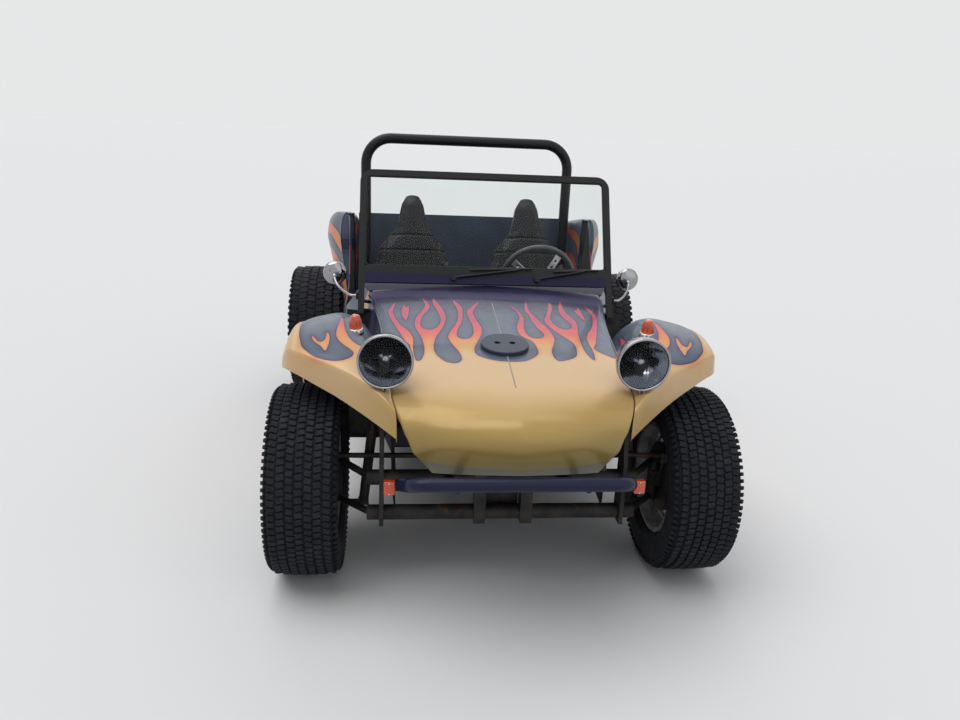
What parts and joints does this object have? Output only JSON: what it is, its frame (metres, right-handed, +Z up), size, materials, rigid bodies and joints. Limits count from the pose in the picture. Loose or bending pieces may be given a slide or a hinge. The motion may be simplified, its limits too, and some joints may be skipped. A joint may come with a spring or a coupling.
{
  "type": "dune buggy",
  "caption": "Open two-seat dune buggy with a glass-fibre tub body, wide rear tyres, raked windscreen, hoop behind the seats, rear air-cooled engine, and steering that turns the front wheels.",
  "frame": {"origin": "on the ground under the middle of the car's overall length and width", "axes": "+X to the car's left (driver's side), +Y rearwards along the car's length, +Z up"},
  "size_m": [1.95, 3.234, 1.487],
  "materials": {
    "alloy": "satin",
    "amber": "gloss",
    "black_steel": "satin",
    "blue_steel": "gloss",
    "body_paint": "gloss",
    "cast": "rough",
    "chassis": "satin",
    "chrome": "polished",
    "gelcoat": "gloss",
    "lamp_glass": "gloss",
    "red": "gloss",
    "screen_glass": "gloss",
    "seat": "satin",
    "tin": "satin",
    "tyre": "matte",
    "wheel": "satin"
  },
  "bodies": {
    "chassis": {"amber_lamps": "amber", "cowl": "gelcoat", "cylinder_heads": "alloy", "engine_case": "alloy", "exhaust": "tin", "fan_shroud": "tin", "floor_pan": "chassis", "front_arms": "chassis", "front_beam": "chassis", "front_bumper": "blue_steel", "front_fender_left": "gelcoat", "front_fender_right": "gelcoat", "front_shocks": "tin", "fuel_cap": "body_paint", "headlamp_bowls": "chrome", "headlamp_lenses": "lamp_glass", "hood": "gelcoat", "levers": "tin", "mirrors": "chrome", "rear_deck": "gelcoat", "rear_quarter_left": "gelcoat", "rear_quarter_right": "gelcoat", "rear_suspension": "chassis", "roll_bar": "black_steel", "seat_left": "seat", "seat_right": "seat", "steering_column": "chassis", "tail_lamps": "red", "transaxle": "alloy", "tub_side_left": "gelcoat", "tub_side_right": "gelcoat", "windscreen_frame": "black_steel", "windscreen_glass": "screen_glass", "wipers": "tin"},
    "wheel_front_left": {"tyre_front_left": "tyre", "rim_front_left": "wheel", "drum_front_left": "cast"},
    "wheel_front_right": {"tyre_front_right": "tyre", "rim_front_right": "wheel", "drum_front_right": "cast"},
    "wheel_rear_left": {"tyre_rear_left": "tyre", "rim_rear_left": "wheel", "drum_rear_left": "cast"},
    "wheel_rear_right": {"tyre_rear_right": "tyre", "rim_rear_right": "wheel", "drum_rear_right": "cast"},
    "steer_left": {"knuckle_left": "cast"},
    "steer_right": {"knuckle_right": "cast"},
    "steering_wheel_body": {"steering_wheel": "black_steel"},
    "pitman": {"pitman_arm": "chassis"},
    "rods": {"track_rods": "chassis"}
  },
  "joints": [
    {"name": "steer_left", "type": "hinge", "parent": "chassis", "child": "steer_left", "pos_m": [0.575, -1.048, 0.333], "axis": [0, 0, 1], "range_deg": [-28, 28]},
    {"name": "spin_front_left", "type": "hinge", "parent": "steer_left", "child": "wheel_front_left", "pos_m": [0.666, -1.048, 0.333], "axis": [1, 0, 0], "continuous": true},
    {"name": "spin_rear_left", "type": "hinge", "parent": "chassis", "child": "wheel_rear_left", "pos_m": [0.825, 0.952, 0.36], "axis": [1, 0, 0], "continuous": true},
    {"name": "steer_right", "type": "hinge", "parent": "chassis", "child": "steer_right", "pos_m": [-0.575, -1.048, 0.333], "axis": [0, 0, 1], "range_deg": [-28, 28]},
    {"name": "spin_front_right", "type": "hinge", "parent": "steer_right", "child": "wheel_front_right", "pos_m": [-0.666, -1.048, 0.333], "axis": [1, 0, 0], "continuous": true},
    {"name": "spin_rear_right", "type": "hinge", "parent": "chassis", "child": "wheel_rear_right", "pos_m": [-0.825, 0.952, 0.36], "axis": [1, 0, 0], "continuous": true},
    {"name": "steering_wheel_turn", "type": "hinge", "parent": "chassis", "child": "steering_wheel_body", "pos_m": [0.29, 0.03, 0.862], "axis": [0, 0.9135, 0.4067], "range_deg": [-336.5, 336.5]},
    {"name": "pitman_swing", "type": "hinge", "parent": "chassis", "child": "pitman", "pos_m": [0.29, -1.233, 0.465], "axis": [0, 0, 1], "range_deg": [-24, 24]},
    {"name": "rods_slide", "type": "slide", "parent": "chassis", "child": "rods", "axis": [1, 0, 0], "range_m": [-0.045, 0.045]}
  ],
  "couplings": [
    {"joint": "steer_right", "follows": "steer_left", "ratio": 1},
    {"joint": "steering_wheel_turn", "follows": "steer_left", "ratio": 12},
    {"joint": "pitman_swing", "follows": "steer_left", "ratio": -0.8397},
    {"joint": "rods_slide", "follows": "steer_left", "m_per_rad": 0.0817}
  ]
}
